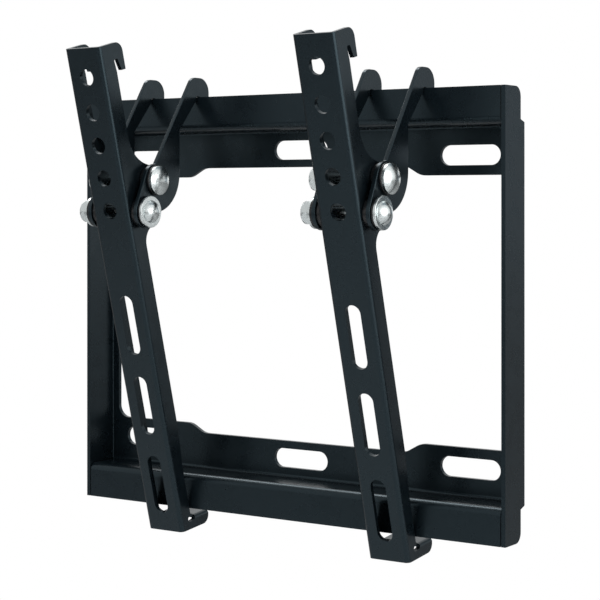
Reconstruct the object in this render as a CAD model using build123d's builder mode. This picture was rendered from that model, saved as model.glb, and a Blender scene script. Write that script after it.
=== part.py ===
from build123d import *
import os
from math import atan2, cos, degrees, radians, sin, tan

# Tilting wall bracket for a flat screen.
# X runs along the wall, +Y goes into the wall and Z is up, all in millimetres.
# The origin is the middle of the wall plate, on the surface of the wall.
# The arms stand at their full tilt, top forward.

# Wall plate, cut and folded from one steel sheet
plate_width = 236.6
plate_height = 199.0
plate_depth = 20.0  # wall to the front of the rails
plate_sheet = 2.0
plate_fold = 1.5  # inside radius of the rails' folds
side_fold = 0.4  # inside radius of the folds at the ends
rail_height = 16.6  # front face of each rail
rail_end_gap = 0.5  # rail end to side flange
opening_border = 5.8  # side of the plate to the opening
end_strip = 21.9  # rail's ledge to the opening, at the ends
mid_strip = 17.4  # and in the middle
opening_mid_length = 116.0
opening_step = 8.0  # run of each slanted step
opening_corner = 6.0
opening_step_round = 9.0
wall_slot_length = 30.5
wall_slot_width = 9.1
wall_slot_spread = 182.8  # between the slots at the ends, along X
end_slot_inset = 12.9  # rail's ledge to the middle of the slots at the ends
mid_slot_inset = 9.2  # and in the middle
tab_setback = 5.5  # rear edge of an end tab to the wall
tab_clear = 0.5  # ledge to the start of the slanted step at an end tab
tab_step = 1.8  # height of that step
tab_corner = 4.5

# Arms, each a channel folded from one sheet
arm_spacing = 126.4  # between the arms' centre planes
arm_width = 21.0
arm_sheet = 2.0
arm_fold = 0.2  # inside radius of the folds along the web
full_tilt = 15.0  # degrees from upright
flange_depth = 9.6
foot_flange = 8.0  # depth of the flanges at the lower rail
flange_narrow_start = 40.0  # above the bottom edge of the lower rail
flange_narrow_end = 20.0
arm_hole = 7.8
top_hole_drop = 13.7  # top of the arm to the first hole
second_hole_drop = 30.2
hole_pitch = 15.6
lower_holes = 4
arm_slot_length = 29.2
arm_slot_width = 7.8
arm_slot_pitch = 40.3
arm_slots = 3
last_slot_rise = 24.0  # bottom of the arm to the middle of the last slot
hook_depth = 16.0
hook_drop = 13.2
hook_round = 4.6
hook_notch_top = 7.4  # top of the arm to the root of the hook's notch
hook_notch_mouth = 3.6  # behind the flange's rear edge
hook_notch_crown = 1.8  # behind the rear edge at the top of the notch
hook_notch_root = 0.7  # in front of the rear edge there
hook_notch_round = 0.9
ear_start = 49.4  # where the ear's upper side would reach the web's face
ear_end = 97.0  # where its lower side would reach it
ear_lobe = 7.2
ear_upper_round = 17.0
ear_lower_round = 8.0
foot_gap = 4.2  # bottom rail to the top of the foot
foot_height = 5.0  # at the web
foot_depth = 21.5
foot_slope = 8.7  # degrees off square to the web
foot_corner = 4.2
foot_relief = 2.8  # height of the slot where a tab's bend begins
relief_length = 5.6
relief_drop = 0.9  # middle of that slot, below the top of the foot
relief_back = 0.55  # and behind the flange's rear edge
foot_bend = 1.9  # outside radius where a tab is bent inward
tab_seam = 1.0  # between the two tabs that are bent inward
tab_front = 3.9  # flange's rear edge to the front of a tab
tab_inset = 1.6  # end of a tab to the rear of the foot

# Hook plates, two on each arm
hook_sheet = 2.0
hook_rise = 9.4  # above the rail
hook_front_top = 3.4  # front of the rail to the front corner of the tip
hook_rear = 7.6  # back of the rail to the rear of the prong
prong_length = 11.0  # below the top of the rail
tip_round = 7.0
tip_front_round = 5.0
prong_round = 1.5
lip_depth = 1.6  # front of the slot, below the top of the rail
neck_drop = 16.6  # top of the rail to the bottom of the neck
body_rear = 18.2  # pivot to the plate's rear edge
body_rear_drop = 3.4  # the straight rear edge starts above the pivot
lobe_radius = 7.7
body_tail = 10.0  # tilt screw to the end of the round rear corner

# Pivot and tilt bolts
pivot_drop = 40.5  # top of the rail to the pivot
pivot_from_top = 67.2  # along the arm
pivot_from_face = 18.8  # behind the web's front face
bolt_spacing = 16.0
bolt_lean = 24.0  # degrees, the tilt screw lies forward of straight below
shank = 6.0
bolt_length = 38.6
bolt_tip = 0.7  # chamfer at the end of the thread
dome_diameter = 13.6
dome_rim = 1.3
dome_height = 3.9
button_diameter = 10.5
button_height = 3.3
steel_washer = 14.8
steel_washer_thickness = 1.4
black_washer = 14.0
black_washer_thickness = 1.3
spacer_diameter = 13.6
spacer_thickness = 2.2
nut_flats = 10.0
nut_height = 6.0
nut_flange = 14.2
nut_flange_thickness = 1.3

# Clearances
rail_play = 0.3  # hook slot to the rail's sheet, each side
seat_gap = 0.2  # hook slot to the top of the rail
side_play = 0.1  # ear to friction spacer
pivot_play = 0.08  # ear to pivot bolt, on the radius
slot_play = 0.3  # ear's curved slot to the tilt screw, on the radius
hole_play = 0.15  # hook plates and washers to the bolts, on the radius
thread_play = 0.05  # nut to bolt, on the radius
stop_gap = 0.3  # arm's flange to the bottom rail at full tilt
near = 0.01  # band for picking edges and corners by their place

# Places that follow from the sizes above
rail_top = plate_height / 2
rail_front = -plate_depth
rail_back = rail_front + plate_sheet
ledge = rail_top - rail_height
fold_line = plate_fold + plate_sheet / 2
side_line = side_fold + plate_sheet / 2
relief_side = plate_sheet + rail_end_gap
rail_half = plate_width / 2 - relief_side
opening_length = plate_width - 2 * opening_border
opening_end_height = 2 * (ledge - end_strip)
opening_mid_height = 2 * (ledge - mid_strip)

tilt = radians(full_tilt)
arm_down = Vector(0, sin(tilt), -cos(tilt))
arm_back = Vector(0, cos(tilt), sin(tilt))

# At full tilt the flanges just clear the lower rail, which sets how far forward the pivot is
corner_back = foot_flange + stop_gap / cos(tilt)
pivot_above = plate_height - pivot_drop
pivot_reach = (corner_back - pivot_from_face + pivot_above * sin(tilt)) / cos(tilt)
pivot = Vector(0, rail_front - pivot_reach, rail_top - pivot_drop)
lean = radians(bolt_lean)
tilt_bolt = pivot + Vector(0, -sin(lean), -cos(lean)) * bolt_spacing
arm_top = pivot - arm_down * pivot_from_top - arm_back * pivot_from_face

# The bottom edge of the lower rail, seen from the arm
rail_corner = Vector(0, rail_front, -rail_top) - arm_top
corner_down = rail_corner.dot(arm_down)
foot_top = corner_down + foot_gap
foot_rise = tan(radians(foot_slope))
arm_length = foot_top + foot_height

# Stacks along each bolt, measured from the arm's centre plane
ear_face = arm_width / 2
hook_inner = ear_face + side_play + spacer_thickness
hook_outer = hook_inner + hook_sheet
head_seat = hook_outer + black_washer_thickness
tilt_head_seat = head_seat + steel_washer_thickness


def side_plane(centre):
    """Side of an arm: x runs down the arm and y runs back from its front face."""
    origin = Vector(centre, arm_top.Y, arm_top.Z)
    return Plane(origin=origin, x_dir=arm_down, z_dir=(1, 0, 0))


def face_plane(centre):
    """Front face of an arm: x runs along the wall and y runs up the arm."""
    origin = Vector(centre, arm_top.Y, arm_top.Z)
    return Plane(origin=origin, x_dir=(1, 0, 0), z_dir=-arm_back)


def end_plane(centre):
    """Top end of an arm: x runs along the wall and y runs forward."""
    origin = Vector(centre, arm_top.Y, arm_top.Z)
    return Plane(origin=origin, x_dir=(1, 0, 0), z_dir=arm_down)


def bolt_plane(centre, bolt):
    """Section through a bolt: x runs along its axis and y runs up."""
    return Plane(origin=(centre, bolt.Y, bolt.Z), x_dir=(1, 0, 0), z_dir=(0, -1, 0))


def on_arm(point):
    """A point of the bracket's YZ plane as (down, back) on the arm."""
    offset = point - arm_top
    return (offset.dot(arm_down), offset.dot(arm_back))


def at(items, axis, place):
    """The corners or edges that lie at one place along an axis."""
    return items.filter_by_position(axis, place - near, place + near)


def save(piece, name):
    """Label a finished piece and write it as its own file."""
    piece.part.label = name
    export_step(piece.part, f"parts/{name}.step")


os.makedirs("parts", exist_ok=True)

# Wall plate
with BuildPart() as wall_plate:
    # Each rail folds forward from the back and then away from the middle
    with BuildSketch(Plane.YZ):
        with BuildLine():
            FilletPolyline(
                (-plate_sheet / 2, 0),
                (-plate_sheet / 2, ledge + plate_sheet / 2),
                (rail_front + plate_sheet / 2, ledge + plate_sheet / 2),
                (rail_front + plate_sheet / 2, rail_top),
                radius=fold_line,
            )
        trace(line_width=plate_sheet)
        mirror(about=Plane.XZ)
    extrude(amount=rail_half, both=True)
    # Side flanges fold forward along both ends
    with BuildSketch(Plane.XY):
        with BuildLine():
            FilletPolyline(
                (rail_half, -plate_sheet / 2),
                (plate_width / 2 - plate_sheet / 2, -plate_sheet / 2),
                (plate_width / 2 - plate_sheet / 2, rail_front),
                radius=side_line,
            )
        trace(line_width=plate_sheet)
        mirror(about=Plane.YZ)
    extrude(amount=rail_top, both=True)
    # Past the ledges only the end tabs are left of the side flanges
    for flank in (-1, 1):
        with BuildSketch(Plane.YZ.offset(flank * (plate_width / 2 - relief_side / 2))):
            with BuildLine():
                Polyline(
                    (plate_sheet, ledge + tab_clear),
                    (0, ledge + tab_clear),
                    (-tab_setback, ledge + tab_clear + tab_step),
                    (-tab_setback, plate_height),
                    (plate_sheet, plate_height),
                    close=True,
                )
            make_face()
            mirror(about=Plane.XZ)
        extrude(amount=relief_side / 2, both=True, mode=Mode.SUBTRACT)
    tab_edges = at(wall_plate.edges().filter_by(Axis.X), Axis.Y, -tab_setback)
    fillet(tab_edges.group_by(Axis.Z)[0] + tab_edges.group_by(Axis.Z)[-1], tab_corner)
    # Opening and wall slots
    with BuildSketch(Plane.XZ) as back_cuts:
        Rectangle(opening_length, opening_end_height)
        fillet(back_cuts.vertices(), opening_corner)
        step_end = opening_mid_length / 2 + opening_step
        step_points = [
            (opening_mid_length / 2, opening_mid_height / 2),
            (step_end, opening_end_height / 2),
            (step_end, -opening_end_height / 2),
            (opening_mid_length / 2, -opening_mid_height / 2),
        ]
        Polygon(*step_points, *[(-x, y) for x, y in reversed(step_points)], align=None)
        steps = back_cuts.vertices().filter_by_position(Axis.X, -step_end, step_end)
        fillet(steps, opening_step_round)
        with GridLocations(wall_slot_spread, 2 * (ledge - end_slot_inset), 2, 2):
            SlotOverall(wall_slot_length, wall_slot_width)
        with GridLocations(0, 2 * (ledge - mid_slot_inset), 1, 2):
            SlotOverall(wall_slot_length, wall_slot_width)
    extrude(amount=2 * plate_sheet, both=True, mode=Mode.SUBTRACT)
save(wall_plate, "wall_plate")

# Arms
down_axis = Axis((0, 0, 0), arm_down)
back_axis = Axis((0, 0, 0), arm_back)
foot_axis = Axis((0, 0, 0), arm_back + arm_down * foot_rise)
tilt_place = on_arm(tilt_bolt)
pivot_place = on_arm(pivot)
slot_start = degrees(atan2(tilt_place[1] - pivot_place[1], tilt_place[0] - pivot_place[0]))
slot_end_angle = radians(slot_start + full_tilt)
slot_end = (
    pivot_place[0] + bolt_spacing * cos(slot_end_angle),
    pivot_place[1] + bolt_spacing * sin(slot_end_angle),
)
for side, centre in (("left", -arm_spacing / 2), ("right", arm_spacing / 2)):
    with BuildPart() as arm:
        # Outline of the web and both flanges from the side, with hook, ear and foot
        with BuildSketch(side_plane(centre)) as outline:
            with BuildLine():
                Polyline(
                    (0, 0),
                    (0, hook_depth),
                    (hook_drop, hook_depth),
                    (hook_drop, flange_depth + hook_notch_mouth),
                    (hook_notch_top, flange_depth + hook_notch_crown),
                    (hook_notch_top, flange_depth - hook_notch_root),
                    (hook_drop, flange_depth),
                    (corner_down - flange_narrow_start, flange_depth),
                    (corner_down - flange_narrow_end, foot_flange),
                    (foot_top, foot_flange),
                    (foot_top + foot_rise * (foot_depth - foot_flange), foot_depth),
                    (arm_length + foot_rise * foot_depth, foot_depth),
                    (arm_length, 0),
                    close=True,
                )
            make_face()
            fillet(at(outline.vertices(), Axis.X, hook_notch_top), hook_notch_round)
            fillet(outline.vertices().sort_by_distance((0, hook_depth))[0], hook_round)
            heel = (arm_length + foot_rise * foot_depth, foot_depth)
            fillet(outline.vertices().sort_by_distance(heel)[0], foot_corner)
            with BuildSketch(mode=Mode.PRIVATE) as ear:
                with Locations(pivot_place, slot_end):
                    Circle(ear_lobe)
                with BuildLine():
                    Line((ear_start, 0), (ear_end, 0))
                make_hull()
            add(ear.sketch)
            roots = at(outline.vertices(), Axis.Y, flange_depth)
            upper_root, lower_root = roots.filter_by_position(Axis.X, ear_start, ear_end)
            fillet(upper_root, ear_upper_round)
            fillet(outline.vertices().sort_by_distance(lower_root)[0], ear_lower_round)
        extrude(amount=arm_width / 2, both=True)
        fillet(arm.edges().filter_by(down_axis).group_by(back_axis)[0], arm_fold + arm_sheet)
        # Hollow of the channel
        hollow = arm_width - 2 * arm_sheet
        with BuildSketch(end_plane(centre)) as inside:
            with Locations((0, -arm_sheet - arm_width)):
                Rectangle(hollow, 2 * arm_width)
            fillet(inside.vertices().group_by(Axis.Y)[-1], arm_fold)
        extrude(amount=2 * arm_length, both=True, mode=Mode.SUBTRACT)
        # Tabs bent inward from the top of the foot
        tab_start = foot_flange + tab_front
        tab_end = foot_depth - tab_inset
        for flank in (-1, 1):
            middle = centre + flank * (arm_width - arm_sheet + tab_seam) / 4
            reach = (arm_width - arm_sheet - tab_seam) / 2
            with BuildSketch(side_plane(middle)):
                Polygon(
                    (foot_top + foot_rise * (tab_start - foot_flange), tab_start),
                    (foot_top + foot_rise * (tab_end - foot_flange), tab_end),
                    (foot_top + foot_rise * (tab_end - foot_flange) + arm_sheet, tab_end),
                    (foot_top + foot_rise * (tab_start - foot_flange) + arm_sheet, tab_start),
                    align=None,
                )
            extrude(amount=reach / 2, both=True)
        tops = arm.edges().filter_by(foot_axis).group_by(Axis.X)
        for edges in (tops[0], tops[-1]):
            fillet(edges.sort_by(down_axis)[0], foot_bend)
        # Holes and slots in the web
        with BuildSketch(face_plane(centre)):
            with Locations((0, -top_hole_drop)):
                Circle(arm_hole / 2)
            for row in range(lower_holes):
                with Locations((0, -second_hole_drop - row * hole_pitch)):
                    Circle(arm_hole / 2)
            for row in range(arm_slots):
                with Locations((0, last_slot_rise + row * arm_slot_pitch - arm_length)):
                    SlotOverall(arm_slot_length, arm_slot_width, rotation=90)
        extrude(amount=-2 * arm_sheet, mode=Mode.SUBTRACT)
        # Pivot holes, curved tilt slots and relief holes through both flanges
        with BuildSketch(side_plane(centre)):
            with Locations(pivot_place):
                Circle(shank / 2 + pivot_play)
            with BuildLine(mode=Mode.PRIVATE) as travel:
                CenterArc(pivot_place, bolt_spacing, slot_start, full_tilt)
            SlotArc(travel.edge(), shank + 2 * slot_play)
            with Locations((foot_top + relief_drop, foot_flange + relief_back)):
                SlotOverall(relief_length, foot_relief, rotation=90)
        extrude(amount=arm_width, both=True, mode=Mode.SUBTRACT)
    save(arm, f"{side}_arm")

# Hook plates
rear_edge = pivot.Y + body_rear
slot_front = rail_front - rail_play
slot_back = rail_back + rail_play
tip_top = rail_top + hook_rise
for side, centre in (("left", -arm_spacing / 2), ("right", arm_spacing / 2)):
    for flank in (-1, 1):
        place = "inner" if flank * centre < 0 else "outer"
        middle = centre + flank * (hook_inner + hook_outer) / 2
        with BuildPart() as hook_plate:
            with BuildSketch(Plane.YZ.offset(middle)) as outline:
                with BuildLine():
                    tip = Polyline(
                        (pivot.Y, pivot.Z + lobe_radius),
                        (rail_front - hook_front_top, tip_top),
                        (rail_back + hook_rear, tip_top),
                        (rail_back + hook_rear, rail_top - prong_length),
                        (slot_back, rail_top - prong_length),
                        (slot_back, rail_top + seat_gap),
                        (slot_front, rail_top + seat_gap),
                        (slot_front, rail_top - lip_depth),
                        (rear_edge, rail_top - neck_drop),
                        (rear_edge, pivot.Z + body_rear_drop),
                    )
                    corner = TangentArc(
                        tip @ 1, (tilt_bolt.Y + body_tail, tilt_bolt.Z), tangent=(0, -1)
                    )
                    Polyline(corner @ 1, (tilt_bolt.Y, tilt_bolt.Z), tip @ 0)
                make_face()
                top_corners = outline.vertices().group_by(Axis.Y)[-1].sort_by(Axis.X)
                fillet(top_corners[0], tip_front_round)
                fillet(outline.vertices().group_by(Axis.Y)[-1].sort_by(Axis.X)[-1], tip_round)
                fillet(at(outline.vertices(), Axis.Y, rail_top - prong_length), prong_round)
                with BuildSketch(mode=Mode.PRIVATE) as lobes:
                    with Locations((pivot.Y, pivot.Z), (tilt_bolt.Y, tilt_bolt.Z)):
                        Circle(lobe_radius)
                    make_hull()
                add(lobes.sketch)
                with Locations((pivot.Y, pivot.Z), (tilt_bolt.Y, tilt_bolt.Z)):
                    Circle(shank / 2 + hole_play, mode=Mode.SUBTRACT)
            extrude(amount=hook_sheet / 2, both=True)
        save(hook_plate, f"{side}_{place}_hook_plate")


def washer(name, centre, bolt, start, thickness, diameter):
    """A flat ring on a bolt, from start outwards along the bolt."""
    with BuildPart() as ring:
        with BuildSketch(Plane.YZ.offset(centre + start)):
            with Locations((bolt.Y, bolt.Z)):
                Circle(diameter / 2)
                Circle(shank / 2 + hole_play, mode=Mode.SUBTRACT)
        extrude(amount=thickness)
    save(ring, name)


def flange_nut(name, centre, bolt):
    """A hexagon nut with a round flange that faces the arm."""
    seat = centre - head_seat
    bevel = nut_flats / 2
    with BuildPart() as nut:
        with BuildSketch(Plane.YZ.offset(seat - nut_height)):
            with Locations((bolt.Y, bolt.Z)):
                RegularPolygon(nut_flats / 2, 6, major_radius=False)
        extrude(amount=nut_height)
        with BuildSketch(bolt_plane(seat - nut_height, bolt)):
            with BuildLine():
                Polyline(
                    (0, 0),
                    (0, bevel),
                    (nut_height - nut_flange_thickness, nut_flange / 2),
                    (nut_height, nut_flange / 2),
                    (nut_height, 0),
                    close=True,
                )
            make_face()
        revolve(axis=Axis((0, bolt.Y, bolt.Z), (1, 0, 0)), mode=Mode.INTERSECT)
        with BuildSketch(Plane.YZ.offset(seat - nut_flange_thickness)):
            with Locations((bolt.Y, bolt.Z)):
                Circle(nut_flange / 2)
        extrude(amount=nut_flange_thickness)
        with BuildSketch(Plane.YZ.offset(seat - nut_height)):
            with Locations((bolt.Y, bolt.Z)):
                Circle(shank / 2 + thread_play)
        extrude(amount=nut_height, mode=Mode.SUBTRACT)
    save(nut, name)


# Bolts, nuts, washers and spacers
for side, centre in (("left", -arm_spacing / 2), ("right", arm_spacing / 2)):
    with BuildPart() as pivot_bolt:
        with BuildSketch(bolt_plane(centre, pivot)):
            with BuildLine():
                rim = Polyline(
                    (head_seat + dome_height, 0),
                    (head_seat - bolt_length, 0),
                    (head_seat - bolt_length, shank / 2 - bolt_tip),
                    (head_seat - bolt_length + bolt_tip, shank / 2),
                    (head_seat, shank / 2),
                    (head_seat, dome_diameter / 2),
                    (head_seat + dome_rim, dome_diameter / 2),
                )
                TangentArc(rim @ 0, rim @ 1, tangent=(0, 1))
            make_face()
        revolve(axis=Axis((0, pivot.Y, pivot.Z), (1, 0, 0)))
    save(pivot_bolt, f"{side}_pivot_bolt")

    with BuildPart() as tilt_screw:
        with BuildSketch(bolt_plane(centre, tilt_bolt)):
            with BuildLine():
                rim = Polyline(
                    (tilt_head_seat + button_height, 0),
                    (head_seat - bolt_length, 0),
                    (head_seat - bolt_length, shank / 2 - bolt_tip),
                    (head_seat - bolt_length + bolt_tip, shank / 2),
                    (tilt_head_seat, shank / 2),
                    (tilt_head_seat, button_diameter / 2),
                )
                TangentArc(rim @ 0, rim @ 1, tangent=(0, 1))
            make_face()
        revolve(axis=Axis((0, tilt_bolt.Y, tilt_bolt.Z), (1, 0, 0)))
    save(tilt_screw, f"{side}_tilt_screw")

    washer(
        f"{side}_tilt_steel_washer",
        centre,
        tilt_bolt,
        head_seat,
        steel_washer_thickness,
        steel_washer,
    )
    for name, bolt in (("pivot", pivot), ("tilt", tilt_bolt)):
        flange_nut(f"{side}_{name}_nut", centre, bolt)
        washer(
            f"{side}_{name}_head_washer", centre, bolt, hook_outer, black_washer_thickness, black_washer
        )
        washer(
            f"{side}_{name}_nut_washer",
            centre,
            bolt,
            -hook_outer - black_washer_thickness,
            black_washer_thickness,
            black_washer,
        )
        washer(
            f"{side}_{name}_head_spacer",
            centre,
            bolt,
            ear_face + side_play,
            spacer_thickness,
            spacer_diameter,
        )
        washer(
            f"{side}_{name}_nut_spacer", centre, bolt, -hook_inner, spacer_thickness, spacer_diameter
        )
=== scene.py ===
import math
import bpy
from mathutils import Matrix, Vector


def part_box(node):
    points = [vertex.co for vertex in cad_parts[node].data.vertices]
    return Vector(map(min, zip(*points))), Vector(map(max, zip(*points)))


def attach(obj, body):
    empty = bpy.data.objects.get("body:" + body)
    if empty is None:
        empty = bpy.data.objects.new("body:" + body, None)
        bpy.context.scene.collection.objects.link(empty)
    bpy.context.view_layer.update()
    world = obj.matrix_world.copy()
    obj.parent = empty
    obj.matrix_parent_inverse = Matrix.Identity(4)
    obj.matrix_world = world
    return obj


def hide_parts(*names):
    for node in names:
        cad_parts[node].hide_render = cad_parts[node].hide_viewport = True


bl_info = {
    "name": "Tilting Screen Bracket",
    "version": (1, 0, 0),
    "blender": (4, 5, 0),
    "location": "View3D > Sidebar > Bracket",
    "description": "Finishes a tilting wall bracket: coated folded sheet, plated bolts, black washers",
    "category": "Object",
}

import bmesh
import bpy
from bpy.props import FloatProperty, FloatVectorProperty, IntProperty, PointerProperty
from mathutils import Vector

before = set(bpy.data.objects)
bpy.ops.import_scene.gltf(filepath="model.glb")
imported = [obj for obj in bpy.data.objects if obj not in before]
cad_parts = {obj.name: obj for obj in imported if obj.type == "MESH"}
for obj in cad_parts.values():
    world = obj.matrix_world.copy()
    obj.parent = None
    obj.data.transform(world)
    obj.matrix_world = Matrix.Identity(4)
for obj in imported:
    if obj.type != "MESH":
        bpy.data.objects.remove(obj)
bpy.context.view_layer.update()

MM = 0.001
SIDES = ("left", "right")
BOLTS = ("pivot", "tilt")
ENDS = ("head", "nut")

# Doubles closer than this are merged, in the CAD's sheets and in turned shapes
SHEET_MERGE = 0.002 * MM
TURNED_MERGE = 0.001 * MM
# Facets of a sheet that turn by less than this lie in one plane
FLAT_ANGLE = math.radians(0.4)
# Edges sharper than these are rounded
SHEET_CREASE = math.radians(32)
BOLT_CREASE = math.radians(40)
NUT_CREASE = math.radians(25)

# Turned shapes are made along Z and laid along X
ALONG_X = -math.pi / 2
# A bolt's outline is swept round a circle of this radius, which its distances leave out
HUB = 1.0 * MM
# Steps in a washer's rounded edge, a dome's outline and one turn of a thread, and sides of its ridge
EDGE_STEPS = 4
DOME_STEPS = 20
HELIX_STEPS = 36
RIDGE_SIDES = 6

# Most of a noise lies between these values
NOISE_LOW = 0.3
NOISE_HIGH = 0.7
# How far the roughness of each finish wanders below and above its own value
COAT_WANDER = (-0.04, 0.05)
ZINC_WANDER = (-0.04, 0.06)
NYLON_WANDER = (-0.05, 0.05)
# The other tone in the plate's mottle and in the nylon's grain, against the finish's colour
ZINC_DULL = 0.86
NYLON_PALE = 1.5

FLOOR_REACH = 6.0
# The camera sees the floor fade to white between these distances from the bracket
FADE_START = 0.4
FADE_END = 0.75
# Each light's width and depth, its place and aim, and whether it lights dull surfaces and shows in metal
LIGHTS = {
    "top": (1.4, 0.35, (-0.95, 0.26, 0.95), (-0.95, 0, 0), False, True),
    "front": (0.5, 0.5, (-0.1, -0.55, 0.6), (-0.1, -0.55, 0), True, False),
    "side": (0.9, 0.8, (1.0, -0.25, 0.15), (0, -0.05, 0), True, True),
}
# What lies across the back, from the left, by the X of the direction
BACK_STOPS = (
    (-0.92, "left"),
    (-0.72, "back"),
    (0.12, "back"),
    (0.25, "gap"),
    (0.48, "gap"),
    (0.57, "right"),
)
# In front the room gives way to the right between these values of X
ROOM_END = 0.46
RIGHT_START = 0.6
# The front gives way to the back between these values of Y
FRONT_END = -0.25
BACK_START = 0.15


def linear(code):
    """An sRGB hex colour as linear red, green and blue."""
    values = [int(code[i : i + 2], 16) / 255 for i in (1, 3, 5)]
    return tuple(v / 12.92 if v <= 0.04045 else ((v + 0.055) / 1.055) ** 2.4 for v in values)


def opaque(colour):
    """A property's colour as a shader socket takes it."""
    return (*colour, 1.0)


def grey(level):
    """A level of white as a shader socket takes it."""
    return (level, level, level, 1.0)


def per_metre(size):
    """Scale of a texture whose features are this wide."""
    return 1 / size


def add_node(tree, kind, inputs=None, **settings):
    """Add a node, set its properties and fill its inputs with values or with other nodes' outputs."""
    made = tree.nodes.new(kind)
    for key, value in settings.items():
        setattr(made, key, value)
    for key, value in (inputs or {}).items():
        if isinstance(value, bpy.types.NodeSocket):
            tree.links.new(value, made.inputs[key])
        else:
            made.inputs[key].default_value = value
    return made


class BracketFinish(bpy.types.PropertyGroup):
    """Colours and surface of the bracket's three finishes."""

    coat_colour: FloatVectorProperty(
        name="Coat colour",
        description="Powder coat on the folded sheet",
        subtype="COLOR",
        default=linear("#0b1216"),
    )
    coat_shade: FloatVectorProperty(
        name="Coat shade",
        description="Darker cloud in the coat",
        subtype="COLOR",
        default=linear("#070c10"),
    )
    coat_sheen: FloatVectorProperty(
        name="Coat sheen",
        description="Cast of the coat's reflections",
        subtype="COLOR",
        default=linear("#cef0ff"),
    )
    coat_roughness: FloatProperty(
        name="Coat roughness",
        description="Lower is glossier",
        subtype="FACTOR",
        default=0.28,
        min=0,
        max=1,
    )
    peel_size: FloatProperty(
        name="Orange peel",
        description="Width of the coat's ripples",
        unit="LENGTH",
        precision=5,
        default=2.4 * MM,
        min=0.2 * MM,
    )
    zinc_colour: FloatVectorProperty(
        name="Zinc colour",
        description="Bright zinc plate on the bolts",
        subtype="COLOR",
        default=linear("#e6eded"),
    )
    zinc_roughness: FloatProperty(
        name="Zinc roughness",
        description="Lower is brighter",
        subtype="FACTOR",
        default=0.26,
        min=0,
        max=1,
    )
    nylon_colour: FloatVectorProperty(
        name="Nylon colour",
        description="Black washers and spacers",
        subtype="COLOR",
        default=linear("#0a0b0d"),
    )
    nylon_roughness: FloatProperty(
        name="Nylon roughness",
        description="Lower is shinier",
        subtype="FACTOR",
        default=0.29,
        min=0,
        max=1,
    )


class BracketSizes(bpy.types.PropertyGroup):
    """Small sizes of edges and fasteners."""

    sheet_edge: FloatProperty(
        name="Sheet edge",
        description="Rounding of cut sheet edges",
        unit="LENGTH",
        precision=5,
        default=0.3 * MM,
    )
    bolt_edge: FloatProperty(
        name="Bolt edge",
        description="Rounding of the bolts' edges",
        unit="LENGTH",
        precision=5,
        default=0.12 * MM,
    )
    nut_edge: FloatProperty(
        name="Nut edge",
        description="Rounding of the nuts' edges",
        unit="LENGTH",
        precision=5,
        default=0.18 * MM,
    )
    washer_edge: FloatProperty(
        name="Washer edge",
        description="Rounding of washers and spacers",
        unit="LENGTH",
        precision=5,
        default=0.3 * MM,
    )
    shank: FloatProperty(
        name="Shank",
        description="Diameter of the bolts",
        unit="LENGTH",
        precision=5,
        default=6.0 * MM,
    )
    washer_play: FloatProperty(
        name="Washer play",
        description="Bolt to washer, on the diameter",
        unit="LENGTH",
        precision=5,
        default=0.3 * MM,
    )
    nut_play: FloatProperty(
        name="Nut play",
        description="Bolt to nut, on the diameter",
        unit="LENGTH",
        precision=5,
        default=0.1 * MM,
    )
    pivot_head: FloatProperty(
        name="Pivot head",
        description="Height of the domed head",
        unit="LENGTH",
        precision=5,
        default=3.9 * MM,
    )
    pivot_rim: FloatProperty(
        name="Pivot rim",
        description="Straight rim under the dome",
        unit="LENGTH",
        precision=5,
        default=1.3 * MM,
    )
    tilt_head: FloatProperty(
        name="Tilt head",
        description="Height of the button head",
        unit="LENGTH",
        precision=5,
        default=3.3 * MM,
    )
    tilt_rim: FloatProperty(
        name="Tilt rim",
        description="Straight rim under the button",
        unit="LENGTH",
        precision=5,
        default=0.15 * MM,
    )
    thread_pitch: FloatProperty(
        name="Thread pitch",
        description="Rise of the thread in one turn",
        unit="LENGTH",
        precision=5,
        default=1.0 * MM,
    )
    thread_length: FloatProperty(
        name="Thread length",
        description="Threaded end of each bolt",
        unit="LENGTH",
        precision=5,
        default=10.0 * MM,
    )
    nut_flats: FloatProperty(
        name="Nut flats",
        description="Across the flats of a nut",
        unit="LENGTH",
        precision=5,
        default=10.0 * MM,
    )
    nut_flange: FloatProperty(
        name="Nut flange",
        description="Thickness of a nut's flange",
        unit="LENGTH",
        precision=5,
        default=1.3 * MM,
    )
    turns: IntProperty(
        name="Facets",
        description="Facets round each turned piece",
        subtype="UNSIGNED",
        default=72,
        min=12,
    )


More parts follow.
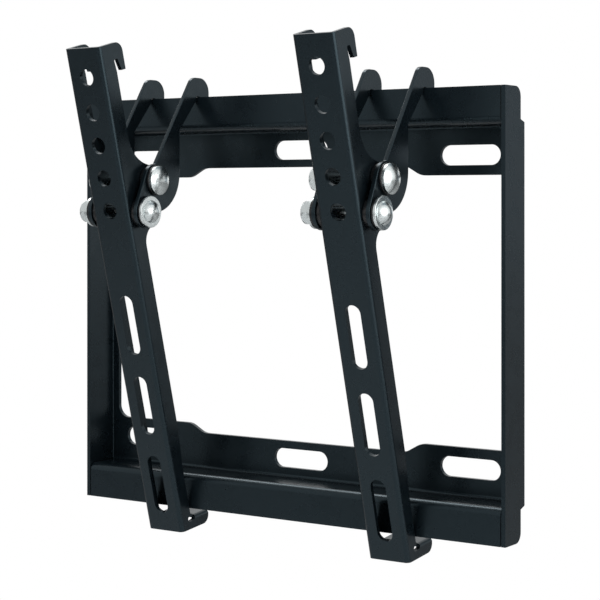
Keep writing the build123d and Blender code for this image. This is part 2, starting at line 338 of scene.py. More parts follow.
class BracketStage(bpy.types.PropertyGroup):
    """Floor, light and camera."""

    floor_colour: FloatVectorProperty(
        name="Floor colour",
        description="Plain pale floor",
        subtype="COLOR",
        default=linear("#e2e3e4"),
    )
    floor_height: FloatProperty(
        name="Floor height",
        description="Height of the floor",
        unit="LENGTH",
        default=-0.3,
    )
    fill_level: FloatProperty(
        name="Fill level",
        description="Light from all round",
        subtype="FACTOR",
        default=0.28,
        min=0,
        max=1,
    )
    room_level: FloatProperty(
        name="Room level",
        description="Brightness of the room in front, as the metal shows it",
        subtype="FACTOR",
        default=0.65,
        min=0,
        max=1,
    )
    back_level: FloatProperty(
        name="Back level",
        description="Brightness of the backdrop, as the metal shows it",
        subtype="FACTOR",
        default=1.0,
        min=0,
        max=1,
    )
    gap_colour: FloatVectorProperty(
        name="Gap colour",
        description="Dim gap right of the backdrop, as the metal shows it",
        subtype="COLOR",
        default=linear("#818f98"),
    )
    left_level: FloatProperty(
        name="Left level",
        description="Brightness of the room at the left, as the metal shows it",
        subtype="FACTOR",
        default=0.3,
        min=0,
        max=1,
    )
    right_level: FloatProperty(
        name="Right level",
        description="Brightness of the room at the right, as the metal shows it",
        subtype="FACTOR",
        default=1.0,
        min=0,
        max=1,
    )
    top_power: FloatProperty(
        name="Top light",
        description="Soft light above, at the left",
        unit="POWER",
        default=7.0,
        min=0,
    )
    front_power: FloatProperty(
        name="Front light",
        description="Soft light above, in front",
        unit="POWER",
        default=5.0,
        min=0,
    )
    side_power: FloatProperty(
        name="Side light",
        description="Soft light at the right",
        unit="POWER",
        default=5.5,
        min=0,
    )
    camera_place: FloatVectorProperty(
        name="Camera place",
        description="The photograph's viewpoint",
        subtype="TRANSLATION",
        precision=5,
        default=(0.463606, -0.686905, 0.05055),
    )
    camera_turn: FloatProperty(
        name="Camera turn",
        description="How far the level camera is turned to the left",
        subtype="ANGLE",
        default=math.radians(34.119),
    )
    focal_length: FloatProperty(
        name="Focal length",
        description="Of the camera's lens, on a sensor 36 mm wide",
        unit="CAMERA",
        default=104.2,
        min=1,
    )
    lens_shift: FloatProperty(
        name="Lens shift",
        description="Upward shift of the picture, as part of its width",
        default=-0.1692,
    )


def bare_material(name):
    """A new material with no nodes in its tree."""
    made = bpy.data.materials.new(name)
    made.use_nodes = True
    made.node_tree.nodes.clear()
    return made


def powder_coat():
    """Black polyester powder, sprayed on and baked."""
    name = "Black powder coat"
    if name in bpy.data.materials:
        return bpy.data.materials[name]
    finish = bpy.context.scene.bracket_finish
    made = bare_material(name)
    tree = made.node_tree
    # The eye sees a satin black with soft reflections, a slight blue cast and a faint orange peel
    place = add_node(tree, "ShaderNodeTexCoord").outputs["Object"]
    # Clouds about 30 mm wide, where the coat is a little thicker or thinner
    cloud = add_node(
        tree, "ShaderNodeTexNoise", {"Vector": place, "Scale": per_metre(30 * MM), "Detail": 2.0}
    )
    tone = add_node(
        tree,
        "ShaderNodeMix",
        {
            "Factor": cloud.outputs["Fac"],
            "A": opaque(finish.coat_colour),
            "B": opaque(finish.coat_shade),
        },
        data_type="RGBA",
    )
    # Gloss wanders by a few hundredths over 8 mm
    gloss = add_node(
        tree, "ShaderNodeTexNoise", {"Vector": place, "Scale": per_metre(8 * MM), "Detail": 3.0}
    )
    rough = add_node(
        tree,
        "ShaderNodeMapRange",
        {
            "Value": gloss.outputs["Fac"],
            "From Min": NOISE_LOW,
            "From Max": NOISE_HIGH,
            "To Min": finish.coat_roughness + COAT_WANDER[0],
            "To Max": finish.coat_roughness + COAT_WANDER[1],
        },
    )
    # Orange peel is about 1 mm wide and is drawn coarser so that it shows
    peel = add_node(
        tree,
        "ShaderNodeTexNoise",
        {"Vector": place, "Scale": per_metre(finish.peel_size), "Detail": 1.0},
    )
    bump = add_node(
        tree,
        "ShaderNodeBump",
        {"Height": peel.outputs["Fac"], "Strength": 0.25, "Distance": 0.03 * MM},
    )
    coat = add_node(
        tree,
        "ShaderNodeBsdfPrincipled",
        {
            "Base Color": tone.outputs["Result"],
            "Roughness": rough.outputs["Result"],
            "IOR": 1.5,
            "Specular Tint": opaque(finish.coat_sheen),
            "Normal": bump.outputs["Normal"],
        },
    )
    add_node(tree, "ShaderNodeOutputMaterial", {"Surface": coat.outputs["BSDF"]})
    return made


def zinc_plate():
    """Bright zinc, electroplated on steel."""
    name = "Bright zinc plate"
    if name in bpy.data.materials:
        return bpy.data.materials[name]
    finish = bpy.context.scene.bracket_finish
    made = bare_material(name)
    tree = made.node_tree
    # The eye sees a light, cool metal with softened reflections and a fine mottle
    place = add_node(tree, "ShaderNodeTexCoord").outputs["Object"]
    # Plating mottle about 1.5 mm wide
    mottle = add_node(
        tree, "ShaderNodeTexNoise", {"Vector": place, "Scale": per_metre(1.5 * MM), "Detail": 3.0}
    )
    rough = add_node(
        tree,
        "ShaderNodeMapRange",
        {
            "Value": mottle.outputs["Fac"],
            "From Min": NOISE_LOW,
            "From Max": NOISE_HIGH,
            "To Min": finish.zinc_roughness + ZINC_WANDER[0],
            "To Max": finish.zinc_roughness + ZINC_WANDER[1],
        },
    )
    dull = [ZINC_DULL * value for value in finish.zinc_colour]
    tone = add_node(
        tree,
        "ShaderNodeMix",
        {"Factor": mottle.outputs["Fac"], "A": opaque(finish.zinc_colour), "B": opaque(dull)},
        data_type="RGBA",
    )
    plate = add_node(
        tree,
        "ShaderNodeBsdfPrincipled",
        {
            "Base Color": tone.outputs["Result"],
            "Metallic": 1.0,
            "Roughness": rough.outputs["Result"],
        },
    )
    add_node(tree, "ShaderNodeOutputMaterial", {"Surface": plate.outputs["BSDF"]})
    return made


def black_nylon():
    """Black nylon, moulded."""
    name = "Black moulded nylon"
    if name in bpy.data.materials:
        return bpy.data.materials[name]
    finish = bpy.context.scene.bracket_finish
    made = bare_material(name)
    tree = made.node_tree
    # The eye sees an even, dark plastic with a low shine, broken by the mould's fine grain
    place = add_node(tree, "ShaderNodeTexCoord").outputs["Object"]
    # Mould grain of 0.3 mm is drawn at 0.5 mm so that it shows
    grain = add_node(
        tree, "ShaderNodeTexNoise", {"Vector": place, "Scale": per_metre(0.5 * MM), "Detail": 2.0}
    )
    rough = add_node(
        tree,
        "ShaderNodeMapRange",
        {
            "Value": grain.outputs["Fac"],
            "From Min": NOISE_LOW,
            "From Max": NOISE_HIGH,
            "To Min": finish.nylon_roughness + NYLON_WANDER[0],
            "To Max": finish.nylon_roughness + NYLON_WANDER[1],
        },
    )
    bump = add_node(
        tree,
        "ShaderNodeBump",
        {"Height": grain.outputs["Fac"], "Strength": 0.2, "Distance": 0.02 * MM},
    )
    pale = [NYLON_PALE * value for value in finish.nylon_colour]
    tone = add_node(
        tree,
        "ShaderNodeMix",
        {"Factor": grain.outputs["Fac"], "A": opaque(finish.nylon_colour), "B": opaque(pale)},
        data_type="RGBA",
    )
    nylon = add_node(
        tree,
        "ShaderNodeBsdfPrincipled",
        {
            "Base Color": tone.outputs["Result"],
            "Roughness": rough.outputs["Result"],
            "IOR": 1.53,
            "Normal": bump.outputs["Normal"],
        },
    )
    add_node(tree, "ShaderNodeOutputMaterial", {"Surface": nylon.outputs["BSDF"]})
    return made


def linked(name, data):
    """A new object in the scene, at the origin."""
    made = bpy.data.objects.new(name, data)
    bpy.context.scene.collection.objects.link(made)
    return made


def settle(piece):
    """Turn a piece's modifiers into its plain mesh."""
    graph = bpy.context.evaluated_depsgraph_get()
    graph.update()
    mesh = bpy.data.meshes.new_from_object(piece.evaluated_get(graph))
    piece.modifiers.clear()
    old = piece.data
    piece.data = mesh
    bpy.data.meshes.remove(old)
    mesh.name = piece.name


def clean_mesh(mesh, merge, flat=None):
    """Merge doubles, join facets that lie flat and point the faces outwards."""
    work = bmesh.new()
    work.from_mesh(mesh)
    bmesh.ops.remove_doubles(work, verts=work.verts, dist=merge)
    if flat:
        bmesh.ops.dissolve_limit(work, angle_limit=flat, verts=work.verts, edges=work.edges)
    bmesh.ops.recalc_face_normals(work, faces=work.faces)
    work.to_mesh(mesh)
    work.free()
    for face in mesh.polygons:
        face.use_smooth = True


def round_edges(piece, width, crease):
    """Round every edge sharper than the crease, and keep flat faces flat."""
    bevel = piece.modifiers.new("Rounded edges", "BEVEL")
    bevel.width = width
    bevel.segments = 3
    bevel.limit_method = "ANGLE"
    bevel.angle_limit = crease
    bevel.miter_outer = "MITER_ARC"
    even = piece.modifiers.new("Flat faces", "WEIGHTED_NORMAL")
    even.keep_sharp = True
    even.weight = 100
    settle(piece)


def give(piece, material, body, slot, *nodes):
    """Finish a piece and hang it on its body in place of its CAD nodes."""
    piece.data.materials.clear()
    piece.data.materials.append(material)
    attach(piece, body)
    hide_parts(*nodes)


def coated_sheet(node, name, body):
    """A sheet part with its cut edges rounded as the coat leaves them."""
    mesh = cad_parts[node].data.copy()
    clean_mesh(mesh, SHEET_MERGE, FLAT_ANGLE)
    piece = linked(name, mesh)
    round_edges(piece, bpy.context.scene.bracket_sizes.sheet_edge, SHEET_CREASE)
    give(piece, powder_coat(), body, "black_powder_coat", node)


def start_tree(name, sizes, sums):
    """A geometry tree whose inputs are points, named sizes and a material, with sums on the sizes."""
    tree = bpy.data.node_groups.new(name, "GeometryNodeTree")
    tree.interface.new_socket("Points", in_out="INPUT", socket_type="NodeSocketGeometry")
    for size in sizes:
        tree.interface.new_socket(size, in_out="INPUT", socket_type="NodeSocketFloat")
    tree.interface.new_socket("Facets", in_out="INPUT", socket_type="NodeSocketInt")
    tree.interface.new_socket("Material", in_out="INPUT", socket_type="NodeSocketMaterial")
    tree.interface.new_socket("Geometry", in_out="OUTPUT", socket_type="NodeSocketGeometry")
    given = {socket.name: socket for socket in add_node(tree, "NodeGroupInput").outputs}
    # A sum takes plain numbers and the names of sizes and of sums before it
    for result, operation, first, second in sums:
        worked = add_node(
            tree,
            "ShaderNodeMath",
            {0: given.get(first, first), 1: given.get(second, second)},
            operation=operation,
        )
        given[result] = worked.outputs["Value"]
    return tree, given


def close_tree(tree, given, shape):
    """Set the shape on each point, realise it and give it its material."""
    spread = add_node(
        tree,
        "GeometryNodeInstanceOnPoints",
        {"Points": given["Points"], "Instance": shape, "Rotation": (0, ALONG_X, 0)},
    )
    real = add_node(tree, "GeometryNodeRealizeInstances", {"Geometry": spread.outputs["Instances"]})
    finished = add_node(
        tree,
        "GeometryNodeSetMaterial",
        {"Geometry": real.outputs["Geometry"], "Material": given["Material"]},
    )
    add_node(tree, "NodeGroupOutput", {"Geometry": finished.outputs["Geometry"]})


def ring_tree():
    """Washers and spacers: a rounded section swept round a circle."""
    name = "Turned ring"
    if name in bpy.data.node_groups:
        return bpy.data.node_groups[name]
    sizes = ("Outer", "Bore", "Thickness", "Edge")
    sums = (
        ("Both", "ADD", "Outer", "Bore"),
        ("Middle Radius", "DIVIDE", "Both", 4.0),
        ("Two Walls", "SUBTRACT", "Outer", "Bore"),
        ("Wall", "DIVIDE", "Two Walls", 2.0),
    )
    tree, given = start_tree(name, sizes, sums)
    path = add_node(
        tree,
        "GeometryNodeCurvePrimitiveCircle",
        {"Resolution": given["Facets"], "Radius": given["Middle Radius"]},
        mode="RADIUS",
    )
    section = add_node(
        tree,
        "GeometryNodeCurvePrimitiveQuadrilateral",
        {"Width": given["Wall"], "Height": given["Thickness"]},
        mode="RECTANGLE",
    )
    eased = add_node(
        tree,
        "GeometryNodeFilletCurve",
        {
            "Curve": section.outputs["Curve"],
            "Count": EDGE_STEPS,
            "Radius": given["Edge"],
            "Limit Radius": True,
        },
        mode="POLY",
    )
    swept = add_node(
        tree,
        "GeometryNodeCurveToMesh",
        {"Curve": path.outputs["Curve"], "Profile Curve": eased.outputs["Curve"]},
    )
    close_tree(tree, given, swept.outputs["Mesh"])
    return tree


def bolt_tree():
    """A bolt: dome, rim, seat and shank turned round one axis, and a thread wound on its end."""
    name = "Turned bolt"
    if name in bpy.data.node_groups:
        return bpy.data.node_groups[name]
    sizes = ("Head", "Rise", "Rim", "Shank", "Length", "Pitch", "Thread")
    sums = (
        ("Head Radius", "DIVIDE", "Head", 2.0),
        ("Shank Radius", "DIVIDE", "Shank", 2.0),
        ("Thread Depth", "MULTIPLY", "Pitch", 0.55),
        ("Core Radius", "SUBTRACT", "Shank Radius", "Thread Depth"),
        ("Tip Radius", "MULTIPLY", "Core Radius", 0.8),
        # The dome is the top of a ball
        ("Dome", "SUBTRACT", "Rise", "Rim"),
        ("Head Square", "POWER", "Head Radius", 2.0),
        ("Dome Square", "POWER", "Dome", 2.0),
        ("Chord Square", "ADD", "Head Square", "Dome Square"),
        ("Two Domes", "MULTIPLY", "Dome", 2.0),
        ("Ball Radius", "DIVIDE", "Chord Square", "Two Domes"),
        ("Ball Centre", "SUBTRACT", "Rise", "Ball Radius"),
        ("Chord Slope", "DIVIDE", "Dome", "Head Radius"),
        ("Half Sweep", "ARCTANGENT", "Chord Slope", 0.0),
        ("Sweep", "MULTIPLY", "Half Sweep", 2.0),
        ("Sweep Start", "SUBTRACT", math.pi / 2, "Sweep"),
        # Heights along the shank, down from the seat
        ("Bottom", "MULTIPLY", "Length", -1.0),
        ("Tip", "MULTIPLY", "Pitch", 0.6),
        ("Tip Top", "ADD", "Bottom", "Tip"),
        ("Neck", "ADD", "Bottom", "Thread"),
        ("Neck Taper", "MULTIPLY", "Pitch", 0.5),
        ("Neck Top", "ADD", "Neck", "Neck Taper"),
        # The outline's distances from the circle that it is swept round
        ("Tip Side", "SUBTRACT", "Tip Radius", HUB),
        ("Core Side", "SUBTRACT", "Core Radius", HUB),
        ("Shank Side", "SUBTRACT", "Shank Radius", HUB),
        ("Head Side", "SUBTRACT", "Head Radius", HUB),
        # The thread is a ridge wound just inside the shank's surface, short of both ends
        ("Ridge Radius", "MULTIPLY", "Pitch", 0.52),
        ("Helix Radius", "SUBTRACT", "Shank Radius", "Ridge Radius"),
        ("Plain Ends", "MULTIPLY", "Pitch", 1.4),
        ("Wound", "SUBTRACT", "Thread", "Plain Ends"),
        ("Turns", "DIVIDE", "Wound", "Pitch"),
        ("Plain Shank", "SUBTRACT", "Length", "Thread"),
        ("Thread Start", "ADD", "Plain Shank", "Pitch"),
    )
    tree, given = start_tree(name, sizes, sums)
    dome = add_node(
        tree,
        "GeometryNodeCurveArc",
        {
            "Resolution": DOME_STEPS,
            "Radius": given["Ball Radius"],
            "Start Angle": given["Sweep Start"],
            "Sweep Angle": given["Sweep"],
        },
        mode="RADIUS",
    )
    lift = add_node(tree, "ShaderNodeCombineXYZ", {"X": -HUB, "Y": given["Ball Centre"]})
    placed = add_node(
        tree,
        "GeometryNodeTransform",
        {"Geometry": dome.outputs["Curve"], "Translation": lift.outputs["Vector"]},
    )
    corners = (
        (-HUB, given["Bottom"]),
        (given["Tip Side"], given["Bottom"]),
        (given["Core Side"], given["Tip Top"]),
        (given["Core Side"], given["Neck"]),
        (given["Shank Side"], given["Neck Top"]),
        (given["Shank Side"], 0.0),
        (given["Head Side"], 0.0),
        (given["Head Side"], given["Rim"]),
    )
    spots = []
    for across, along in corners:
        spot = add_node(tree, "ShaderNodeCombineXYZ", {"X": across, "Y": along})
        spots.append(spot.outputs["Vector"])
    outline = add_node(tree, "GeometryNodeJoinGeometry", {"Geometry": placed.outputs["Geometry"]})
    for first, second in zip(spots, spots[1:]):
        run = add_node(
            tree, "GeometryNodeCurvePrimitiveLine", {"Start": first, "End": second}, mode="POINTS"
        )
        tree.links.new(run.outputs["Curve"], outline.inputs["Geometry"])
    path = add_node(
        tree,
        "GeometryNodeCurvePrimitiveCircle",
        {"Resolution": given["Facets"], "Radius": HUB},
        mode="RADIUS",
    )
    turned = add_node(
        tree,
        "GeometryNodeCurveToMesh",
        {"Curve": path.outputs["Curve"], "Profile Curve": outline.outputs["Geometry"]},
    )
    welded = add_node(
        tree,
        "GeometryNodeMergeByDistance",
        {"Geometry": turned.outputs["Mesh"], "Distance": TURNED_MERGE},
    )
    helix = add_node(
        tree,
        "GeometryNodeCurveSpiral",
        {
            "Resolution": HELIX_STEPS,
            "Rotations": given["Turns"],
            "Start Radius": given["Helix Radius"],
            "End Radius": given["Helix Radius"],
            "Height": given["Wound"],
        },
    )
    rise = add_node(tree, "ShaderNodeCombineXYZ", {"Z": given["Thread Start"]})
    wound = add_node(
        tree,
        "GeometryNodeTransform",
        {"Geometry": helix.outputs["Curve"], "Translation": rise.outputs["Vector"]},
    )
    ridge = add_node(
        tree,
        "GeometryNodeCurvePrimitiveCircle",
        {"Resolution": RIDGE_SIDES, "Radius": given["Ridge Radius"]},
        mode="RADIUS",
    )
    thread = add_node(
        tree,
        "GeometryNodeCurveToMesh",
        {
            "Curve": wound.outputs["Geometry"],
            "Profile Curve": ridge.outputs["Curve"],
            "Fill Caps": True,
        },
    )
    whole = add_node(tree, "GeometryNodeJoinGeometry", {"Geometry": welded.outputs["Geometry"]})
    tree.links.new(thread.outputs["Mesh"], whole.inputs["Geometry"])
    close_tree(tree, given, whole.outputs["Geometry"])
    return tree


def nut_tree():
    """A flange nut: a hexagon cut to a cone, joined to its flange and bored."""
    name = "Flange nut"
    if name in bpy.data.node_groups:
        return bpy.data.node_groups[name]
    sizes = ("Flats", "Height", "Flange", "Flange Height", "Bore")
    sums = (
        ("Corner Radius", "DIVIDE", "Flats", math.sqrt(3)),
        ("Flats Radius", "DIVIDE", "Flats", 2.0),
        ("Flange Radius", "DIVIDE", "Flange", 2.0),
        ("Bore Radius", "DIVIDE", "Bore", 2.0),
        ("Seat", "DIVIDE", "Height", -2.0),
        ("Half Flange", "DIVIDE", "Flange Height", 2.0),
        ("Flange Middle", "ADD", "Seat", "Half Flange"),
        ("Drill Length", "MULTIPLY", "Height", 3.0),
    )
    tree, given = start_tree(name, sizes, sums)
    hexagon = add_node(
        tree,
        "GeometryNodeMeshCylinder",
        {"Vertices": 6, "Radius": given["Corner Radius"], "Depth": given["Height"]},
    )
    turn = add_node(
        tree,
        "GeometryNodeTransform",
        {"Geometry": hexagon.outputs["Mesh"], "Rotation": (0, 0, math.pi / 6)},
    )
    cone = add_node(
        tree,
        "GeometryNodeMeshCone",
        {
            "Vertices": given["Facets"],
            "Radius Top": given["Flats Radius"],
            "Radius Bottom": given["Flange Radius"],
            "Depth": given["Height"],
        },
    )
    low = add_node(tree, "ShaderNodeCombineXYZ", {"Z": given["Seat"]})
    lowered = add_node(
        tree,
        "GeometryNodeTransform",
        {"Geometry": cone.outputs["Mesh"], "Translation": low.outputs["Vector"]},
    )
    body = add_node(
        tree,
        "GeometryNodeMeshBoolean",
        {"Mesh 2": turn.outputs["Geometry"]},
        operation="INTERSECT",
        solver="EXACT",
    )
    tree.links.new(lowered.outputs["Geometry"], body.inputs["Mesh 2"])
    disc = add_node(
        tree,
        "GeometryNodeMeshCylinder",
        {
            "Vertices": given["Facets"],
            "Radius": given["Flange Radius"],
            "Depth": given["Flange Height"],
        },
    )
    drop = add_node(tree, "ShaderNodeCombineXYZ", {"Z": given["Flange Middle"]})
    flange = add_node(
        tree,
        "GeometryNodeTransform",
        {"Geometry": disc.outputs["Mesh"], "Translation": drop.outputs["Vector"]},
    )
    solid = add_node(
        tree,
        "GeometryNodeMeshBoolean",
        {"Mesh 2": body.outputs["Mesh"]},
        operation="UNION",
        solver="EXACT",
    )
    tree.links.new(flange.outputs["Geometry"], solid.inputs["Mesh 2"])
    drill = add_node(
        tree,
        "GeometryNodeMeshCylinder",
        {
            "Vertices": given["Facets"],
            "Radius": given["Bore Radius"],
            "Depth": given["Drill Length"],
        },
    )
    bored = add_node(
        tree,
        "GeometryNodeMeshBoolean",
        {"Mesh 1": solid.outputs["Mesh"], "Mesh 2": drill.outputs["Mesh"]},
        operation="DIFFERENCE",
        solver="EXACT",
    )
    close_tree(tree, given, bored.outputs["Mesh"])
    return tree


def repeated(name, tree, spots, material, sizes):
    """One mesh of a tree's shape at each spot, with the tree's sizes set by their names."""
    mesh = bpy.data.meshes.new(name)
    mesh.from_pydata(spots, [], [])
    piece = linked(name, mesh)
    maker = piece.modifiers.new("Shape", "NODES")
    maker.node_group = tree
    values = {"Facets": bpy.context.scene.bracket_sizes.turns, "Material": material, **sizes}
    for item in tree.interface.items_tree:
        if item.in_out == "INPUT" and item.name in values:
            maker[item.identifier] = values[item.name]
    settle(piece)
    clean_mesh(piece.data, TURNED_MERGE)
    return piece


def extent(node):
    """Middle of a turned node across its axis, where it starts and ends along X, and its diameter."""
    low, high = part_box(node)
    return (low.y + high.y) / 2, (low.z + high.z) / 2, low.x, high.x, high.y - low.y


class BRACKET_OT_wall_plate(bpy.types.Operator):
    """Make the folded wall plate with coated, rounded edges"""

    bl_idname = "bracket.wall_plate"
    bl_label = "Wall plate"

    def execute(self, context):
        coated_sheet("wall_plate", "folded_wall_plate", "wall_plate")
        return {"FINISHED"}


class BRACKET_OT_arms(bpy.types.Operator):
    """Make both channel arms with coated, rounded edges"""

    bl_idname = "bracket.arms"
    bl_label = "Arms"

    def execute(self, context):
        for side in SIDES:
            coated_sheet(f"{side}_arm", f"{side}_channel_arm", f"{side}_tilt_arm")
        return {"FINISHED"}


class BRACKET_OT_hook_plates(bpy.types.Operator):
    """Make the hook plates that hang each arm on the rail"""

    bl_idname = "bracket.hook_plates"
    bl_label = "Hook plates"

    def execute(self, context):
        for side in SIDES:
            for place in ("inner", "outer"):
                coated_sheet(f"{side}_{place}_hook_plate", f"{side}_{place}_hook", f"{side}_hanger")
        return {"FINISHED"}


class BRACKET_OT_bolts(bpy.types.Operator):
    """Make the domed pivot bolts and the tilt screws"""

    bl_idname = "bracket.bolts"
    bl_label = "Bolts"

    def execute(self, context):
        sizes = context.scene.bracket_sizes
        for side in SIDES:
            for bolt, rise, rim in (
                ("pivot_bolt", sizes.pivot_head, sizes.pivot_rim),
                ("tilt_screw", sizes.tilt_head, sizes.tilt_rim),
            ):
                node = f"{side}_{bolt}"
                y, z, start, end, head = extent(node)
                seat = end - rise
                piece = repeated(
                    f"{node}_plated",
                    bolt_tree(),
                    [(seat, y, z)],
                    zinc_plate(),
                    {
                        "Head": head,
                        "Rise": rise,
                        "Rim": rim,
                        "Shank": sizes.shank,
                        "Length": seat - start,
                        "Pitch": sizes.thread_pitch,
                        "Thread": sizes.thread_length,
                    },
                )
                round_edges(piece, sizes.bolt_edge, BOLT_CREASE)
                give(piece, zinc_plate(), f"{side}_hanger", "zinc_plated_steel", node)
        return {"FINISHED"}


class BRACKET_OT_nuts(bpy.types.Operator):
    """Make the flange nuts"""

    bl_idname = "bracket.nuts"
    bl_label = "Nuts"

    def execute(self, context):
        sizes = context.scene.bracket_sizes
        for side in SIDES:
            nodes = [f"{side}_{bolt}_nut" for bolt in BOLTS]
            spots = []
            # The nuts of a side are alike, so the last one's sizes serve both
            for node in nodes:
                y, z, start, end, flange = extent(node)
                spots.append(((start + end) / 2, y, z))
            piece = repeated(
                f"{side}_flange_nuts",
                nut_tree(),
                spots,
                zinc_plate(),
                {
                    "Flats": sizes.nut_flats,
                    "Height": end - start,
                    "Flange": flange,
                    "Flange Height": sizes.nut_flange,
                    "Bore": sizes.shank + sizes.nut_play,
                },
            )
            round_edges(piece, sizes.nut_edge, NUT_CREASE)
            give(piece, zinc_plate(), f"{side}_hanger", "zinc_plated_steel", *nodes)
        return {"FINISHED"}


class BRACKET_OT_washers(bpy.types.Operator):
    """Make the washers and the friction spacers"""

    bl_idname = "bracket.washers"
    bl_label = "Washers"

    def execute(self, context):
        sizes = context.scene.bracket_sizes
        nylon = (black_nylon(), "black_nylon")
        zinc = (zinc_plate(), "zinc_plated_steel")
        for side in SIDES:
            under = [f"{side}_{bolt}_{place}" for bolt in BOLTS for place in ENDS]
            for word, nodes, (material, slot) in (
                ("black_washers", [f"{spot}_washer" for spot in under], nylon),
                ("friction_spacers", [f"{spot}_spacer" for spot in under], nylon),
                ("steel_washer", [f"{side}_tilt_steel_washer"], zinc),
            ):
                spots = []
                # The rings of a group are alike, so the last one's sizes serve all
                for node in nodes:
                    y, z, start, end, outer = extent(node)
                    spots.append(((start + end) / 2, y, z))
                piece = repeated(
                    f"{side}_{word}",
                    ring_tree(),
                    spots,
                    material,
                    {
                        "Outer": outer,
                        "Bore": sizes.shank + sizes.washer_play,
                        "Thickness": end - start,
                        "Edge": sizes.washer_edge,
                    },
                )
                even = piece.modifiers.new("Flat faces", "WEIGHTED_NORMAL")
                even.weight = 100
                settle(piece)
                give(piece, material, f"{side}_hanger", slot, *nodes)
        return {"FINISHED"}


class BRACKET_OT_stage(bpy.types.Operator):
    """Make the floor, the soft lights, the white surround and the camera"""

    bl_idname = "bracket.stage"
    bl_label = "Stage"

    def execute(self, context):
        scene = context.scene
        self.floor(scene.bracket_stage)
        self.lights(scene.bracket_stage)
        scene.world = self.surround(scene.bracket_stage)
        scene.camera = self.camera(scene.bracket_stage)
        scene.view_settings.view_transform = "Standard"
        return {"FINISHED"}

    def floor(self, stage):
        """A pale floor that turns into the white surround further out"""
        work = bmesh.new()
        bmesh.ops.create_grid(work, x_segments=1, y_segments=1, size=FLOOR_REACH)
        bmesh.ops.translate(work, verts=work.verts, vec=(0, 0, stage.floor_height))
        mesh = bpy.data.meshes.new("floor")
        work.to_mesh(mesh)
        work.free()
        piece = linked("floor", mesh)
        material = bare_material("Pale studio floor")
        tree = material.node_tree
        place = add_node(tree, "ShaderNodeTexCoord").outputs["Object"]
        reach = add_node(tree, "ShaderNodeVectorMath", {0: place}, operation="LENGTH")
        far = add_node(
            tree,
            "ShaderNodeMapRange",
            {"Value": reach.outputs["Value"], "From Min": FADE_START, "From Max": FADE_END},
            interpolation_type="SMOOTHSTEP",
        )
        # Only the camera sees the fade, so the bracket mirrors the whole floor
        ray = add_node(tree, "ShaderNodeLightPath")
        shown = add_node(
            tree,
            "ShaderNodeMath",
            {0: far.outputs["Result"], 1: ray.outputs["Is Camera Ray"]},
            operation="MULTIPLY",
        )
        near = add_node(tree, "ShaderNodeBsdfDiffuse", {"Color": opaque(stage.floor_colour)})
        white = add_node(tree, "ShaderNodeEmission", {"Color": grey(1.0), "Strength": 1.0})
        blend = add_node(
            tree,
            "ShaderNodeMixShader",
            {0: shown.outputs["Value"], 1: near.outputs["BSDF"], 2: white.outputs["Emission"]},
        )
        add_node(tree, "ShaderNodeOutputMaterial", {"Surface": blend.outputs["Shader"]})
        mesh.materials.append(material)

    def lights(self, stage):
        """A long light high at the left for the folds' sheen, one in front for the floor, one at the right"""
        for name, (width, depth, place, aim, on_dull, in_metal) in LIGHTS.items():
            lamp = bpy.data.lights.new(f"{name}_light", "AREA")
            lamp.shape = "RECTANGLE"
            lamp.size = width
            lamp.size_y = depth
            lamp.energy = getattr(stage, f"{name}_power")
            holder = linked(f"{name}_light", lamp)
            holder.location = place
            holder.rotation_euler = (Vector(aim) - Vector(place)).to_track_quat("-Z", "Y").to_euler()
            holder.visible_camera = False
            holder.visible_diffuse = on_dull
            holder.visible_glossy = in_metal

    def surround(self, stage):
        """White for the camera, and for metal a white backdrop with dimmer walls beside and in front of it"""
        world = bpy.data.worlds.new("White studio")
        world.use_nodes = True
        tree = world.node_tree
        tree.nodes.clear()
        way = add_node(tree, "ShaderNodeTexCoord").outputs["Generated"]
        split = add_node(tree, "ShaderNodeSeparateXYZ", {0: way})
        # Across the back from the left: a dim wall, the white backdrop, a dim gap, then a white wall
        across = add_node(
            tree,
            "ShaderNodeMapRange",
            {"Value": split.outputs["X"], "From Min": -1.0, "From Max": 1.0},
        )
        back = add_node(tree, "ShaderNodeValToRGB", {"Fac": across.outputs["Result"]})
        walls = {
            "left": grey(stage.left_level),
            "back": grey(stage.back_level),
            "gap": opaque(stage.gap_colour),
            "right": grey(stage.right_level),
        }
        stops = back.color_ramp.elements
        stops.remove(stops[1])
        for number, (x, wall) in enumerate(BACK_STOPS):
            position = (x + 1) / 2
            stop = stops.new(position) if number else stops[0]
            stop.position = position
            stop.color = walls[wall]
        front = add_node(
            tree,
            "ShaderNodeMapRange",
            {
                "Value": split.outputs["X"],
                "From Min": ROOM_END,
                "From Max": RIGHT_START,
                "To Min": stage.room_level,
                "To Max": stage.right_level,
            },
        )
        behind = add_node(
            tree,
            "ShaderNodeMapRange",
            {"Value": split.outputs["Y"], "From Min": FRONT_END, "From Max": BACK_START},
            interpolation_type="SMOOTHSTEP",
        )
        room = add_node(
            tree,
            "ShaderNodeMix",
            {
                "Factor": behind.outputs["Result"],
                "A": front.outputs["Result"],
                "B": back.outputs["Color"],
            },
            data_type="RGBA",
        )
        ray = add_node(tree, "ShaderNodeLightPath")
        shine = add_node(
            tree,
            "ShaderNodeMath",
            {0: ray.outputs["Is Glossy Ray"], 1: ray.outputs["Is Transmission Ray"]},
            operation="MAXIMUM",
        )
        level = add_node(
            tree,
            "ShaderNodeMix",
            {
                "Factor": shine.outputs["Value"],
                "A": grey(stage.fill_level),
                "B": room.outputs["Result"],
            },
            data_type="RGBA",
        )
        seen = add_node(
            tree,
            "ShaderNodeMix",
            {"Factor": ray.outputs["Is Camera Ray"], "A": level.outputs["Result"], "B": grey(1.0)},
            data_type="RGBA",
        )
        sky = add_node(
            tree, "ShaderNodeBackground", {"Color": seen.outputs["Result"], "Strength": 1.0}
        )
        add_node(tree, "ShaderNodeOutputWorld", {"Surface": sky.outputs["Background"]})
        return world

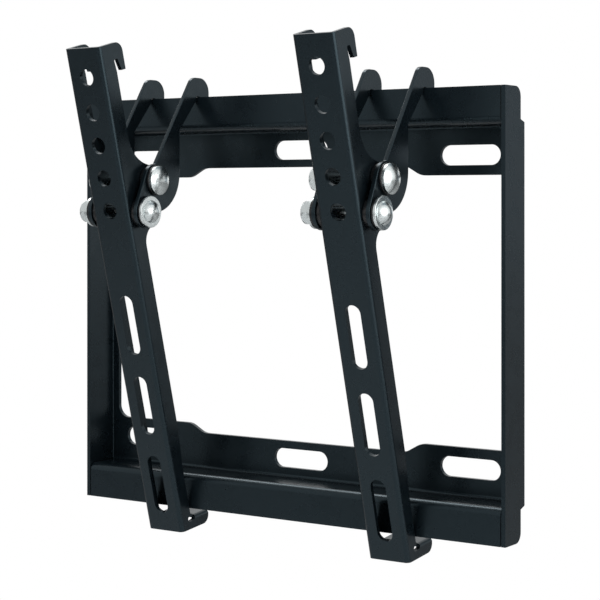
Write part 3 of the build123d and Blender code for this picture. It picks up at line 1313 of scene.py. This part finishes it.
    def camera(self, stage):
        """The photograph's viewpoint: level, from the right and in front"""
        lens = bpy.data.cameras.new("camera")
        lens.sensor_width = 36.0
        lens.lens = stage.focal_length
        lens.shift_y = stage.lens_shift
        lens.clip_start = 0.01
        holder = linked("camera", lens)
        holder.location = stage.camera_place
        holder.rotation_euler = (math.pi / 2, 0, stage.camera_turn)
        return holder


OPERATORS = (
    BRACKET_OT_wall_plate,
    BRACKET_OT_arms,
    BRACKET_OT_hook_plates,
    BRACKET_OT_bolts,
    BRACKET_OT_nuts,
    BRACKET_OT_washers,
    BRACKET_OT_stage,
)


class BRACKET_PT_panel(bpy.types.Panel):
    """The bracket's sizes, finishes and steps"""

    bl_idname = "BRACKET_PT_panel"
    bl_label = "Screen bracket"
    bl_space_type = "VIEW_3D"
    bl_region_type = "UI"
    bl_category = "Bracket"

    def draw(self, context):
        scene = context.scene
        for group in (scene.bracket_finish, scene.bracket_sizes, scene.bracket_stage):
            box = self.layout.box()
            for key in group.bl_rna.properties.keys():
                if key not in ("rna_type", "name"):
                    box.prop(group, key)
        for operator in OPERATORS:
            self.layout.operator(operator.bl_idname)


GROUPS = (BracketFinish, BracketSizes, BracketStage)


def register():
    for kind in (*GROUPS, *OPERATORS, BRACKET_PT_panel):
        bpy.utils.register_class(kind)
    bpy.types.Scene.bracket_finish = PointerProperty(type=BracketFinish)
    bpy.types.Scene.bracket_sizes = PointerProperty(type=BracketSizes)
    bpy.types.Scene.bracket_stage = PointerProperty(type=BracketStage)


def unregister():
    del bpy.types.Scene.bracket_stage
    del bpy.types.Scene.bracket_sizes
    del bpy.types.Scene.bracket_finish
    for kind in reversed((*GROUPS, *OPERATORS, BRACKET_PT_panel)):
        bpy.utils.unregister_class(kind)


def main():
    register()
    bpy.ops.bracket.stage()
    bpy.ops.bracket.wall_plate()
    bpy.ops.bracket.arms()
    bpy.ops.bracket.hook_plates()
    bpy.ops.bracket.bolts()
    bpy.ops.bracket.nuts()
    bpy.ops.bracket.washers()


if __name__ == "__main__":
    main()
